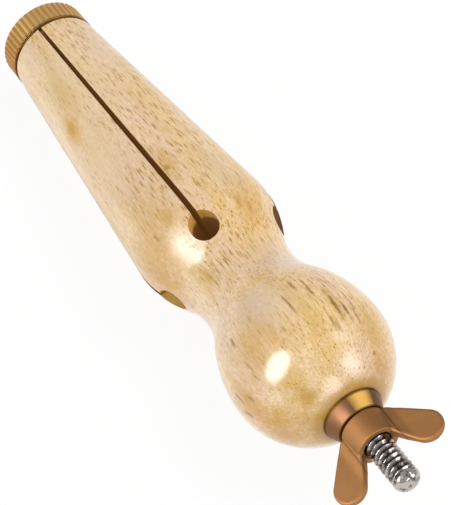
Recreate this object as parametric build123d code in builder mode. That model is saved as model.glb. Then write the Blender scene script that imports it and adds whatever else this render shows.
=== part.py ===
"""Inside ring clamp: a turned wooden handle whose sawn nose is spread inside a ring by a brass cone.

A steel rod runs through the wood from the knurled cap, which carries the cone, to a wing nut that bears
on a brass ferrule. Turning the nut draws the rod and the cone in, and the four jaws bend out at their stop
holes.
The clamp lies on its side on the plane z = 0, touching it with the cap's rim and the shoulder. +X points
along the tool, from the cap to the wing nut, and the origin is below the middle of its length.
"""
from build123d import *
import os
from math import asin, atan2, cos, hypot, radians, sin, sqrt, tan

# Places along the tool are measured from the centre of the ball, positive towards the rod's free end.

# Wood: the nose cone, the shoulder's corner before rounding, the waist and the ball
nose_end_radius = 8.46
nose_length = 59.67
shoulder_radius = 13.56
shoulder_to_ball = 32.08
shoulder_round = 17.6
flank_angle = 22.8
waist_round = 15.0
crown_radius = 24.9
ball_radius = 14.5
seat_radius = 6.0
rod_bore_radius = 2.9

# Saw cuts and the stop holes that end them
kerf_width_at_hole = 1.0
kerf_width_at_tip = 0.66
stop_hole_radius = 2.6
stop_hole_to_ball = 27.65
kerf_angle = 20.1

# Steel rod, a number 10 machine thread
rod_radius = 2.413
rod_free_length = 9.6
rod_end_round = 1.7

# Brass cap: knurled rim and the cone that spreads the jaws
rim_radius = 8.55
rim_thickness = 5.05
rim_bevel = 0.45
rim_gap = 0.7
cap_floor = 1.65
cone_angle = 45.0
cone_end_radius = 3.8
cone_clearance = 0.05
knurl_count = 48
knurl_depth = 0.34
knurl_band = 0.4

# Brass ferrule
ferrule_radius = 5.7
ferrule_edge = 0.8
ferrule_height = 3.0
ferrule_face_radius = 4.35
spigot_radius = 4.2
spigot_length = 7.0
ferrule_clearance = 0.09

# Brass wing nut
hub_base_radius = 4.1
hub_end_radius = 3.85
hub_height = 5.0
hub_chamfer = 0.3
nut_clearance = 0.03
hub_wall = 0.1
wing_stand_off = 3.7
wing_rise = 8.0
wing_tip_radius = 2.8
wing_root_depth = 0.5
wing_root_rise = 2.2
wing_root_radius = 1.9
wing_root_thickness = 1.5
wing_tip_thickness = 1.1
wing_web = 1.3
wing_web_round = 2.0
wing_web_angle = 24.0
wing_edge_round = 0.4
wing_angle = -65.5

# Sizes that follow
shoulder_at = -shoulder_to_ball
nose_end = shoulder_at - nose_length
nose_slope = atan2(shoulder_radius - nose_end_radius, nose_length)
hole_at = -stop_hole_to_ball
seat_at = sqrt(ball_radius**2 - seat_radius**2)
nut_seat = seat_at + ferrule_height
nut_end = nut_seat + hub_height
rod_end = nut_end + rod_free_length
wing_reach = hub_base_radius + wing_stand_off
wing_span = wing_reach + wing_tip_radius
rim_foot = nose_end - rim_gap
cap_face = rim_foot - rim_thickness
cone_slope = tan(radians(cone_angle))
cone_nose = rim_foot + (rim_radius - cone_end_radius) / cone_slope
mouth_radius = rim_radius - rim_gap * cone_slope + cone_clearance / cos(radians(cone_angle))
mouth_depth = (mouth_radius - rod_bore_radius) / cone_slope
rod_start = cap_face + cap_floor

# The shoulder's rounding is a circle, tangent to the nose cone and to the flank
corner_half = (nose_slope + radians(flank_angle)) / 2
shoulder_tangent = shoulder_round * tan(corner_half)
round_at = shoulder_at - shoulder_tangent * cos(nose_slope) + shoulder_round * sin(nose_slope)
round_radius = shoulder_radius - shoulder_tangent * sin(nose_slope) - shoulder_round * cos(nose_slope)

# Lying at rest: a line from the rim's lower corner that touches the shoulder's rounding
corner_at = cap_face + rim_bevel
reach_along = round_at - corner_at
reach_out = round_radius - rim_radius
lean = atan2(reach_out, reach_along) + asin(shoulder_round / hypot(reach_along, reach_out))
ball_height = rim_radius * cos(lean) - corner_at * sin(lean)
left_end = cap_face * cos(lean) - (rim_radius - rim_bevel) * sin(lean)
right_end = (rod_end - rod_end_round) * cos(lean) + (rod_radius - rod_end_round) * sin(lean) + rod_end_round
ball_centre = Vector(-(left_end + right_end) / 2, 0, ball_height)
along = Vector(cos(lean), 0, sin(lean))
up = Vector(-sin(lean), 0, cos(lean))
front = Vector(0, -1, 0)
tool_axis = Axis(ball_centre, along)


def outward(turn):
    """Direction square to the tool's axis, turned in degrees from the top towards the front."""
    return up * cos(radians(turn)) + front * sin(radians(turn))


def facing(turn):
    """Plane through the axis, seen from outside: its Y runs along the tool and its Z points outward."""
    return Plane(origin=ball_centre, x_dir=outward(turn + 90), z_dir=outward(turn))


def station(place):
    """Plane square to the axis at a place along the tool."""
    return Plane(origin=ball_centre + along * place, x_dir=up, z_dir=along)


def off_axis(edge):
    """Distance of an edge's middle from the tool's axis."""
    return (edge.center() - ball_centre).cross(along).length


# On this plane X is the radius and Y the place along the tool, as on a lathe drawing
turning = facing(-90)

# The wood, turned, bored, drilled and sawn in one piece
with BuildPart() as body:
    with BuildSketch(turning):
        with BuildLine():
            nose = Line((nose_end_radius, nose_end), (shoulder_radius, shoulder_at))
            crown_centre = ball_radius - crown_radius
            crown = CenterArc((crown_centre, 0), crown_radius, -90, 90, mode=Mode.PRIVATE)
            flank_way = (-sin(radians(flank_angle)), cos(radians(flank_angle)))
            flank = IntersectingLine(nose @ 1, flank_way, crown)
            TangentArc((ball_radius, 0), flank @ 1, tangent=(0, -1))
            TangentArc((ball_radius, 0), (seat_radius, seat_at), tangent=(0, 1))
            Polyline(
                (seat_radius, seat_at),
                (spigot_radius, seat_at),
                (spigot_radius, seat_at - spigot_length),
                (rod_bore_radius, seat_at - spigot_length),
                (rod_bore_radius, nose_end + mouth_depth),
                (mouth_radius, nose_end),
                (nose_end_radius, nose_end),
            )
        make_face()
        shoulder_corner = vertices().sort_by_distance((shoulder_radius, shoulder_at))[0]
        fillet(shoulder_corner, radius=shoulder_round)
        waist_corner = vertices().sort_by_distance(flank @ 1)[0]
        fillet(waist_corner, radius=waist_round)
    revolve(axis=tool_axis)
    for turn in (kerf_angle, kerf_angle + 90):
        with BuildSketch(facing(turn)):
            with Locations((0, hole_at)):
                Circle(stop_hole_radius)
        extrude(amount=2 * shoulder_radius, both=True, mode=Mode.SUBTRACT)
        with BuildSketch(facing(turn)):
            with BuildLine():
                Polyline(
                    (kerf_width_at_tip / 2, nose_end),
                    (kerf_width_at_hole / 2, hole_at),
                    (-kerf_width_at_hole / 2, hole_at),
                    (-kerf_width_at_tip / 2, nose_end),
                    close=True,
                )
            make_face()
        extrude(amount=2 * shoulder_radius, both=True, mode=Mode.SUBTRACT)

# The solid end of the wood, from the stop holes to the foot of the ball
with BuildPart() as wooden_handle:
    add(body.part)
    split(bisect_by=station(hole_at), keep=Keep.TOP)
wooden_handle.part.label = "wooden_handle"

# The four jaws, each between two saw cuts
jaw_turns = {
    "jaw_top": kerf_angle - 45,
    "jaw_front": kerf_angle + 45,
    "jaw_bottom": kerf_angle + 135,
    "jaw_back": kerf_angle + 225,
}
jaws = []
for jaw_name, jaw_turn in jaw_turns.items():
    with BuildPart() as jaw:
        add(body.part)
        split(bisect_by=station(hole_at), keep=Keep.BOTTOM)
        split(bisect_by=facing(jaw_turn - 45), keep=Keep.TOP)
        split(bisect_by=facing(jaw_turn + 45), keep=Keep.TOP)
    jaw.part.label = jaw_name
    jaws.append(jaw.part)

# Brass collar with a spigot in the ball and a conical flange that the nut bears on
with BuildPart() as ferrule:
    with BuildSketch(turning):
        with BuildLine():
            Polyline(
                (rod_radius + ferrule_clearance, seat_at - spigot_length),
                (spigot_radius, seat_at - spigot_length),
                (spigot_radius, seat_at),
                (ferrule_radius, seat_at),
                (ferrule_radius, seat_at + ferrule_edge),
                (ferrule_face_radius, nut_seat),
                (rod_radius + ferrule_clearance, nut_seat),
                close=True,
            )
        make_face()
    revolve(axis=tool_axis)
ferrule.part.label = "ferrule"

# Rod from inside the cap to its rounded free end
with BuildPart() as draw_rod:
    with BuildSketch(station(rod_start)):
        Circle(rod_radius)
    extrude(amount=rod_end - rod_start)
    free_end = edges().filter_by(GeomType.CIRCLE).sort_by(tool_axis)[-1]
    fillet(free_end, radius=rod_end_round)
draw_rod.part.label = "draw_rod"

# Knurled cap and its spreading cone, turned in one piece and bored for the rod
with BuildPart() as expander_cap:
    with BuildSketch(turning):
        with BuildLine():
            Polyline(
                (0, cap_face),
                (rim_radius - rim_bevel, cap_face),
                (rim_radius, cap_face + rim_bevel),
                (rim_radius, rim_foot),
                (cone_end_radius, cone_nose),
                (rod_radius, cone_nose),
                (rod_radius, rod_start),
                (0, rod_start),
                close=True,
            )
        make_face()
    revolve(axis=tool_axis)
    with BuildSketch(station(cap_face)):
        with PolarLocations(rim_radius, knurl_count):
            Rectangle(knurl_depth * sqrt(2), knurl_depth * sqrt(2), rotation=45)
    extrude(amount=rim_thickness - knurl_band, mode=Mode.SUBTRACT)
expander_cap.part.label = "expander_cap"

# Wings of teardrop outline, which lean outwards and thicken towards the hub
with BuildPart() as wings:
    for side in (1, -1):
        with BuildSketch(facing(wing_angle - 90)):
            with Locations((side * wing_reach, nut_seat + wing_rise)):
                Circle(wing_tip_radius)
            with Locations((side * (hub_base_radius - wing_root_depth), nut_seat + wing_root_rise)):
                Circle(wing_root_radius)
            make_hull()
        extrude(amount=hub_base_radius, both=True)
    with BuildSketch(Plane(origin=station(nut_seat).origin, x_dir=outward(wing_angle), z_dir=along)):
        with BuildLine():
            web_start = Vector(hub_end_radius - hub_wall, 0).rotate(Axis.Z, wing_web_angle)
            web_end = Vector(hub_base_radius + wing_web, wing_root_thickness / 2)
            Polyline(
                (0, 0),
                (0, web_start.Y),
                web_start,
                web_end,
                (wing_span, wing_tip_thickness / 2),
                (wing_span, 0),
                close=True,
            )
        make_face()
        fillet(vertices().sort_by_distance(web_end)[0], radius=wing_web_round)
        mirror(about=Plane.XZ)
        mirror(about=Plane.YZ)
    extrude(amount=wing_rise + wing_tip_radius, mode=Mode.INTERSECT)
    long_edges = edges().filter_by(lambda edge: edge.length > wing_tip_radius / 2)
    outer_edges = long_edges.filter_by(lambda edge: off_axis(edge) > web_end.X)
    fillet(outer_edges, radius=wing_edge_round)

# Wing nut: a slightly tapered hub with the wings cast on, bored for the rod
with BuildPart() as wing_nut:
    with BuildSketch(turning):
        with BuildLine():
            Polyline(
                (0, nut_seat),
                (hub_base_radius - hub_chamfer, nut_seat),
                (hub_base_radius, nut_seat + hub_chamfer),
                (hub_end_radius, nut_end),
                (0, nut_end),
                close=True,
            )
        make_face()
    revolve(axis=tool_axis)
    add(wings.part)
    with BuildSketch(station(nut_seat)):
        Circle(rod_radius + nut_clearance)
    extrude(amount=hub_height, mode=Mode.SUBTRACT)
wing_nut.part.label = "wing_nut"

os.makedirs("parts", exist_ok=True)
for piece in (wooden_handle.part, *jaws, ferrule.part, draw_rod.part, expander_cap.part, wing_nut.part):
    export_step(piece, f"parts/{piece.label}.step")
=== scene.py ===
"""Dressed model of the inside ring clamp: lacquered turned wood, knurled brass cap, wing nut and steel rod.

Every piece is shaped on a lathe drawing, where Z is the place along the tool measured from the ball's centre
and X and Y are square to it, in millimetres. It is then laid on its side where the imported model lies.
"""
import logging
from dataclasses import dataclass, field
from enum import Enum
from functools import cached_property, reduce
from math import asin, atan2, cos, hypot, pi, radians, sin, sqrt, tan

import bmesh
import bpy
from bmesh.types import BMesh, BMVert
from bpy.types import ID, Material, Node, NodeSocket, NodeTree, Object
from mathutils import Matrix, Vector


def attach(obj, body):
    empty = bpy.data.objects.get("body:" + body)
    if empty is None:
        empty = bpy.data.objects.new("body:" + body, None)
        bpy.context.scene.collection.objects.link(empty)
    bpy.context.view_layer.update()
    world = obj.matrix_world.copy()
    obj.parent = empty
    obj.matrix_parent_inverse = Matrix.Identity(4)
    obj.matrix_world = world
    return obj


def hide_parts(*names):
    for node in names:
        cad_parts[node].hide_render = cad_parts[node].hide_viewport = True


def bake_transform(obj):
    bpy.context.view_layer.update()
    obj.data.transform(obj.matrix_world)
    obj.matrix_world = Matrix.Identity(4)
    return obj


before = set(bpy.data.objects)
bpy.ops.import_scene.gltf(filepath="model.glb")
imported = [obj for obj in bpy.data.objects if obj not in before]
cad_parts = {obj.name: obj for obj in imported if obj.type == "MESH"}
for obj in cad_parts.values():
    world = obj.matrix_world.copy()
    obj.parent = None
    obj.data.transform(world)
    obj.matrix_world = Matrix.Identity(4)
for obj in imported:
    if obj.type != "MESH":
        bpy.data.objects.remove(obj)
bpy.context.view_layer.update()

MILLIMETRE = 0.001
# Unit direction across the tool, to the back and up, that its right side in the picture faces
RIGHT_SIDE = (0.0, 0.91, 0.415)

Pair = tuple[float, float]
Triple = tuple[float, float, float]
Colour = Node | tuple[float, float, float, float]

log = logging.getLogger("ring_clamp")


def linear(code: str) -> tuple[float, float, float, float]:
    """Turn an sRGB hex colour, red first, into the linear one with an alpha of one that a shader reads."""
    parts = [int(code[i : i + 2], 16) / 255 for i in (0, 2, 4)]
    return (*(p / 12.92 if p <= 0.04045 else ((p + 0.055) / 1.055) ** 2.4 for p in parts), 1.0)


@dataclass(frozen=True)
class LyingTool:
    """How the tool lies: its ball's centre, and the rise of its axis towards the wing nut."""

    ball_centre: Triple = (33.5319, 0.0, 15.9305)
    lean: float = radians(4.376232)

    def from_lathe(self) -> Matrix:
        """Place the lathe drawing, in millimetres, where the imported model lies, in metres.

        Returns:
            The matrix that does it.
        """
        along = (cos(self.lean), 0, sin(self.lean))
        up = (-sin(self.lean), 0, cos(self.lean))
        axes = Matrix((up, (0, -1, 0), along)).transposed().to_4x4()
        return Matrix.Scale(MILLIMETRE, 4) @ Matrix.Translation(self.ball_centre) @ axes

    def point(self, place: float) -> Vector:
        """Point on the axis at a place along the tool, in metres."""
        return self.from_lathe() @ Vector((0, 0, place))


TOOL = LyingTool()


@dataclass
class Surface:
    """A node tree that a finish is drawn in, and the measures on the tool that it is drawn by."""

    tree: NodeTree

    def add(self, kind: str, inputs: dict[str | int, object] | None = None, **settings: object) -> Node:
        """Add a node with its settings, values and links.

        Args:
            kind: The node's type, without its leading "ShaderNode".
            inputs: For each input's name or number, a value, the socket that feeds it, or a node whose first
                working output feeds it.
            settings: The node's own settings.

        Returns:
            The new node.
        """
        node = self.tree.nodes.new("ShaderNode" + kind)
        for name, setting in settings.items():
            setattr(node, name, setting)
        for name, value in (inputs or {}).items():
            if isinstance(value, Node):
                value = next(socket for socket in value.outputs if socket.enabled)
            if isinstance(value, NodeSocket):
                self.tree.links.new(value, node.inputs[name])
            else:
                node.inputs[name].default_value = value
        return node

    @cached_property
    def grain(self) -> Node:
        """Coordinates in millimetres on the tool.

        Returns:
            The node that gives them: X along the tool from the ball's centre, Y to the back, Z up.
        """
        laid = {
            "Vector": self.add("TexCoord").outputs["Object"],
            "Location": [mm * MILLIMETRE for mm in TOOL.ball_centre],
            "Rotation": (0, -TOOL.lean, 0),
            "Scale": (MILLIMETRE,) * 3,
        }
        return self.add("Mapping", laid, vector_type="TEXTURE")

    @cached_property
    def place(self) -> Node:
        """Place along the tool in millimetres; the node's second output is the place towards the back."""
        return self.add("SeparateXYZ", {0: self.grain})

    @cached_property
    def radius(self) -> Node:
        """Distance from the tool's axis in millimetres."""
        across = self.add("VectorMath", {0: self.grain, 1: (0, 1, 1)}, operation="MULTIPLY")
        return self.add("VectorMath", {0: across}, operation="LENGTH")

    def patches(
        self,
        length: float,
        width: float,
        detail: float = 2.0,
        roughness: float = 0.5,
        shift: Triple = (0, 0, 0),
    ) -> Node:
        """Soft noise in patches that are stretched along the grain.

        Args:
            length: Length of a patch along the grain in millimetres.
            width: Its width across the grain.
            detail: How many finer sizes of noise are added to it.
            roughness: How strong the finer sizes are.
            shift: Where in the noise the patches are taken from.

        Returns:
            The node that gives the noise.
        """
        scale = (1 / length, 1 / width, 1 / width)
        at = self.add("Mapping", {"Vector": self.grain, "Location": shift, "Scale": scale})
        return self.add("TexNoise", {"Vector": at, "Scale": 1.0, "Detail": detail, "Roughness": roughness})

    def lay(
        self,
        under: Colour,
        over: Colour,
        measure: Node,
        bounds: Pair,
        shares: Pair = (0.0, 1.0),
        **settings: str,
    ) -> Node:
        """Lay one colour over another, by how far a measure has come from one bound to the other.

        Args:
            under: The lower colour.
            over: The upper colour.
            measure: What is measured.
            bounds: The two measures between which the share changes.
            shares: How much of the upper colour shows at each of them.
            settings: Settings of the change.

        Returns:
            The node that gives the mixed colour.
        """
        change = {0: measure, 1: bounds[0], 2: bounds[1], 3: shares[0], 4: shares[1]}
        share = self.add("MapRange", change, **settings)
        return self.add("Mix", {0: share, 6: under, 7: over}, data_type="RGBA")

    def strongest(self, *shares: Node | NodeSocket) -> Node | NodeSocket:
        """The largest of several shares."""
        return reduce(lambda one, other: self.add("Math", {0: one, 1: other}, operation="MAXIMUM"), shares)


class Finish:
    """A procedural material, made once and shared by the pieces that have it."""

    made: dict[str, Material] = {}

    def material(self) -> Material:
        """Make the material, or give the one that is already made.

        Returns:
            The material.
        """
        name = type(self).__name__
        if name not in Finish.made:
            made = bpy.data.materials.new(name)
            made.use_nodes = True
            made.node_tree.nodes.clear()
            surface = Surface(made.node_tree)
            surface.add("OutputMaterial", {"Surface": self.shade(surface)})
            Finish.made[name] = made
        return Finish.made[name]

    def shade(self, on: Surface) -> Node:
        """Build the shader, which each finish does for itself."""
        raise NotImplementedError


@dataclass(frozen=True)
class Pores:
    """One size of pore in the wood: the cell that holds one pore, and how much of the cell it fills."""

    length: float
    width: float
    size: float
    depth: float
    shift: float


@dataclass(frozen=True)
class StainOrShade:
    """A spot laid on the wood, most often a stain and in a few places painted shade: its place and half its
    width in millimetres, its stretch along the grain, its strength, its colour and its stretch downwards into
    the wood.
    """

    at: Triple
    reach: float
    stretch: float
    strength: float
    colour: str = "d0a040"
    depth: float = 1.0


@dataclass(frozen=True)
class LacqueredHardwood(Finish):
    """Pale hardwood such as rubberwood, turned along its grain and dipped in clear gloss lacquer.

    That gives the eye a cream body with golden and pinkish drifts, fine fibre, short ochre pores along the
    grain that turn to dots where the surface cuts across it, and a clear wet highlight over all of it.
    """

    cream: str = "f8dab0"
    gold: str = "deb666"
    pink: str = "ebcaae"
    pore: str = "946424"
    halo: str = "d6a94c"
    ochre: str = "dcad62"
    foot: str = "bc8a28"
    drift_length: float = 38.0
    drift_width: float = 6.0
    blush_length: float = 30.0
    blush_width: float = 9.0
    band_length: float = 16.0
    band_width: float = 3.0
    # Real fibres are some 0.02 mm wide, too fine to show here, so they are drawn as streaks 0.35 mm wide
    fibre_length: float = 9.0
    fibre_width: float = 0.35
    mottle_length: float = 2.0
    mottle_width: float = 10 / 17
    fleck_length: float = 10 / 13
    fleck_width: float = 5 / 19
    tear_size: float = 10 / 13
    pores: tuple[Pores, ...] = (
        Pores(4.2, 0.46, 0.28, 0.66, 0.0),
        Pores(5.6, 0.66, 0.21, 0.8, 3.7),
        Pores(30.0, 2.3, 0.07, 1.0, 8.1),
    )
    stains_and_shade: tuple[StainOrShade, ...] = (
        StainOrShade((-72.0, -7.0, 7.5), 13.0, 2.2, 0.3, "fde6c4"),
        StainOrShade((-54.0, -9.6, 6.6), 5.0, 2.0, 0.5, "f6dab6"),
        StainOrShade((-78.4, 3.6, 8.9), 4.5, 2.0, 0.5, "ecd2b8"),
        StainOrShade((-79.0, -3.8, 8.6), 3.2, 2.6, 0.55, "f0d4b2"),
        StainOrShade((-68.5, -2.2, 10.2), 2.6, 3.4, 0.35, "ecd0b0"),
        StainOrShade((-36.0, 4.0, 12.4), 5.0, 2.2, 0.4, "e2c6aa"),
        StainOrShade((-7.2, -6.0, 12.0), 4.0, 1.2, 0.4, "e8ccb0"),
        StainOrShade((-4.0, -4.5, 13.0), 6.5, 1.1, 0.55, "e6caae"),
        # Painted shade: the next four golden spots darken the front and lower side of the shoulder and the
        # ball
        StainOrShade((-31.5, -12.2, 3.6), 5.5, 1.4, 0.55, "cc9a30"),
        StainOrShade((-27.5, -11.6, 0.6), 4.5, 1.4, 0.6, "cc9a30"),
        StainOrShade((3.6, -14.0, 0.6), 5.5, 1.0, 0.6, "c48c1c"),
        StainOrShade((9.6, -10.6, -2.6), 6.0, 1.0, 0.75, "c0861a"),
        StainOrShade((11.6, 6.8, 4.9), 3.8, 1.0, 0.65, "c08a20"),
        StainOrShade((9.4, 7.6, 7.8), 3.0, 1.0, 0.4, "cc9c54"),
        StainOrShade((-35.0, -10.0, 8.0), 8.0, 1.3, 0.4, "dcae5c"),
        StainOrShade((-28.0, 5.0, 10.5), 4.5, 1.5, 0.5, "d8a046"),
        StainOrShade((-29.0, 3.6, 11.6), 0.8, 4.0, 0.7, "b8842c"),
        StainOrShade((-27.4, 5.2, 10.6), 0.7, 4.0, 0.6, "b8842c"),
        StainOrShade((-14.0, 3.0, 9.0), 7.5, 1.2, 0.6, "dcbfa8"),
        StainOrShade((-7.0, -7.0, 12.0), 4.5, 1.3, 0.4, "dcbfa8"),
        StainOrShade((-66.6, -9.5, 4.8), 2.7, 1.5, 1.0, "dfa62c"),
        StainOrShade((-67.2, -9.4, 4.9), 0.9, 1.8, 0.7, "c48e14"),
        StainOrShade((-74.0, -7.6, 6.6), 2.6, 3.0, 0.4, "d8ac54"),
        StainOrShade((-42.0, -3.0, 12.3), 0.7, 1.3, 1.0, "8e5c08"),
        StainOrShade((-43.0, -2.6, 12.4), 2.2, 2.4, 0.6),
        StainOrShade((-33.0, -8.0, 10.4), 1.4, 1.7, 0.65),
        StainOrShade((0.8, -11.8, 8.4), 3.6, 1.7, 0.35, "d8a85c"),
        StainOrShade((-1.0, -9.0, 11.0), 3.0, 1.5, 0.35, "d8a85c"),
        StainOrShade((11.1, -6.9, 6.3), 2.0, 1.2, 0.5, "cf9c4a"),
        StainOrShade((6.4, 8.5, 9.7), 3.2, 2.2, 0.55, "c9a04a"),
        StainOrShade((1.6, 3.65, 13.8), 1.2, 4.0, 0.6, "c69a30", 3.0),
        StainOrShade((1.8, 3.65, 13.8), 0.42, 9.0, 0.85, "7c5606", 4.0),
        StainOrShade((3.2, 4.95, 13.0), 0.38, 7.0, 0.9, "7c5406", 4.0),
        StainOrShade((-1.8, -2.75, 14.1), 0.32, 10.0, 0.9, "8e6208", 4.0),
        StainOrShade((4.8, 1.5, 13.6), 0.32, 8.0, 0.8, "a07412", 4.0),
        StainOrShade((-3.4, 1.8, 14.0), 0.3, 9.0, 0.8, "a07412", 4.0),
        StainOrShade((5.0, 6.2, 12.2), 0.35, 8.0, 0.8, "9a7012", 3.0),
        StainOrShade((2.4, 6.6, 12.4), 0.3, 8.0, 0.8, "9a7012", 3.0),
        StainOrShade((6.0, 7.6, 10.0), 4.5, 1.2, 0.35, "d2a248"),
        StainOrShade((-31.5, -10.8, 7.3), 0.3, 11.0, 0.8, "b08030"),
        StainOrShade((-20.7, -7.3, 6.1), 1.4, 1.8, 0.6),
        StainOrShade((-29.0, -10.5, 6.4), 3.0, 1.5, 0.45, "cfa158"),
        StainOrShade((11.0, 6.3, 7.0), 1.6, 1.6, 0.55, "c9983a"),
        StainOrShade((10.7, -7.4, 6.4), 1.8, 1.4, 0.5, "cc9838"),
        StainOrShade((12.7, -6.2, 0.5), 3.0, 1.0, 0.6, "c0923a"),
        StainOrShade((12.3, -6.0, -4.0), 2.6, 1.0, 0.5, "c0923a"),
        StainOrShade((10.3, -10.1, 0.5), 4.5, 1.2, 0.35, "d8ac5c"),
        StainOrShade((12.9, 3.8, 4.6), 1.4, 1.0, 0.6, "a87a28"),
        StainOrShade((-4.5, -11.9, 7.5), 0.36, 5.0, 0.8, "8e6408"),
        StainOrShade((1.0, -14.4, 0.9), 0.36, 6.0, 0.8, "7c5606"),
        StainOrShade((3.7, -14.0, -1.1), 0.4, 6.0, 0.8, "7c5606"),
        StainOrShade((3.7, -13.7, 2.9), 0.36, 4.0, 0.8, "8e6408"),
        StainOrShade((-2.3, 1.6, 14.3), 0.42, 4.0, 0.7, "a07412", 3.0),
        StainOrShade((-5.1, -0.1, 14.0), 0.34, 6.0, 0.8, "8e6408", 3.0),
        StainOrShade((5.6, 2.0, 13.2), 0.4, 4.0, 0.7, "a07412", 3.0),
        StainOrShade((10.2, 6.1, 8.3), 0.4, 2.0, 0.8, "8e6408"),
        StainOrShade((3.4, -12.3, 6.9), 0.34, 6.0, 0.7, "b08030"),
        StainOrShade((1.6, -12.3, 7.5), 0.34, 6.0, 0.7, "b08030"),
    )
    filled_from: float = -12.0
    filled_to: float = 8.0
    foot_from: float = 12.1
    foot_to: float = 13.2
    lacquer_roughness: float = 0.18

    def body(self, on: Surface, cluster: Node) -> Node:
        """Cream body with gold drifts, gold where the pores crowd, and pink on the heart side.

        Args:
            on: The surface that it is drawn on.
            cluster: How crowded the pores are, from 0 to 1.

        Returns:
            The node that gives the colour.
        """
        drift = on.patches(self.drift_length, self.drift_width, detail=3.0)
        golden = on.add("MapRange", {0: drift, 1: 0.45, 2: 0.66, 4: 0.7})
        crowded = on.add("Math", {0: cluster, 1: 0.38, 2: golden}, operation="MULTIPLY_ADD")
        warm = on.add("Mix", {0: crowded, 6: linear(self.cream), 7: linear(self.gold)}, data_type="RGBA")
        blush = on.patches(self.blush_length, self.blush_width, shift=(7, 3, 1))
        return on.lay(warm, linear(self.pink), blush, (0.42, 0.62), (0.0, 0.8))

    def crowding(self, on: Surface) -> Node:
        """How crowded the pores are: they come in bands, more of them on the heart side of the blank.

        Args:
            on: The surface that it is drawn on.

        Returns:
            The node that gives it, from 0 to 1.
        """
        heart = on.add("VectorMath", {0: on.grain, 1: RIGHT_SIDE}, operation="DOT_PRODUCT")
        heart_side = on.add("MapRange", {0: heart, 1: -7.0, 2: 9.0, 4: 0.34})
        band = on.patches(self.band_length, self.band_width)
        both = on.add("Math", {0: band, 1: heart_side}, operation="ADD")
        return on.add("MapRange", {0: both, 1: 0.42, 2: 0.68})

    def fibres(self, on: Surface, body: Node) -> Node:
        """Tone the body with fine fibre, ochre mottles and flecks.

        Args:
            on: The surface that it is drawn on.
            body: The body's colour.

        Returns:
            The node that gives the toned colour.
        """
        fibre = on.patches(self.fibre_length, self.fibre_width)
        fibre_tone = on.add("MapRange", {0: fibre, 1: 0.3, 2: 0.7, 3: 0.93, 4: 1.05})
        toned = on.add("VectorMath", {0: body, "Scale": fibre_tone}, operation="SCALE")
        mottle = on.patches(self.mottle_length, self.mottle_width, 3.0, 0.6, (3, 8, 5))
        mottled = on.lay(toned, linear(self.ochre), mottle, (0.45, 0.7), (0.0, 0.6))
        fleck = on.patches(self.fleck_length, self.fleck_width, roughness=0.65)
        fleck_tone = on.add("MapRange", {0: fleck, 1: 0.25, 2: 0.75, 3: 0.84, 4: 1.18})
        return on.add("VectorMath", {0: mottled, "Scale": fleck_tone}, operation="SCALE")

    def sink_pores(self, on: Surface, cluster: Node, colour: Node) -> tuple[Node, Node]:
        """Sink the pores into a colour: long thin cores, with the pooled lacquer's yellower halo round each.

        Args:
            on: The surface that it is drawn on.
            cluster: How crowded the pores are, from 0 to 1.
            colour: The wood's colour between the pores.

        Returns:
            The nodes that give the colour and how deep the pores are.
        """
        # Lacquer has filled some of each pore where the ball's foot cuts straight across it
        filled = on.add("MapRange", {0: on.place, 1: self.filled_from, 2: self.filled_to, 3: 1.0, 4: 0.8})
        cores = []
        for kind in self.pores:
            cell = (1 / kind.length, 1 / kind.width, 1 / kind.width)
            at = on.add("Mapping", {"Vector": on.grain, "Location": (kind.shift,) * 3, "Scale": cell})
            cells = on.add("TexVoronoi", {"Vector": at, "Scale": 1.0})
            reach = on.add("MapRange", {0: cluster, 3: kind.size * 0.3, 4: kind.size})
            open_end = on.add("Math", {0: reach, 1: filled}, operation="MULTIPLY")
            inside = on.add("Math", {0: open_end, 1: cells}, operation="SUBTRACT")
            cores.append(on.add("MapRange", {0: inside, 1: 0.0, 2: kind.size * 0.34, 4: kind.depth}))
            haloed = on.lay(colour, linear(self.halo), inside, (-kind.size * 0.9, 0.0), (0.0, 0.4))
            colour = on.add("Mix", {0: cores[-1], 6: haloed, 7: linear(self.pore)}, data_type="RGBA")
        return colour, on.strongest(*cores)

    def lay_stains_and_shade(self, on: Surface, colour: Node) -> Node:
        """Lay the spots of stain and of painted shade over a colour, each with a ragged edge.

        Args:
            on: The surface that it is drawn on.
            colour: The wood's colour between the spots.

        Returns:
            The node that gives the colour with the spots laid on it.
        """
        ragged = on.add("TexNoise", {"Vector": on.grain, "Scale": 1 / self.tear_size, "Detail": 3.0})
        for spot in self.stains_and_shade:
            off = on.add("VectorMath", {0: on.grain, 1: spot.at}, operation="SUBTRACT")
            shape = (1 / spot.stretch, 1, 1 / spot.depth)
            squeezed = on.add("VectorMath", {0: off, 1: shape}, operation="MULTIPLY")
            far = on.add("VectorMath", {0: squeezed}, operation="LENGTH")
            torn = on.add("Math", {0: ragged, 1: -1.2 * spot.reach, 2: far}, operation="MULTIPLY_ADD")
            bounds = (-0.4 * spot.reach, 0.5 * spot.reach)
            colour = on.lay(colour, linear(spot.colour), torn, bounds, (spot.strength, 0.0))
        return colour

    def shade(self, on: Surface) -> Node:
        """Cream, gold and pink drifts, fibre, pores, spots of stain and of painted shade, and the lacquer's
        coat.

        Args:
            on: The surface that it is drawn on.

        Returns:
            The shader node.
        """
        cluster = self.crowding(on)
        toned = self.fibres(on, self.body(on, cluster))
        pored, sunk = self.sink_pores(on, cluster, toned)
        stained_and_shaded = self.lay_stains_and_shade(on, pored)
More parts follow.
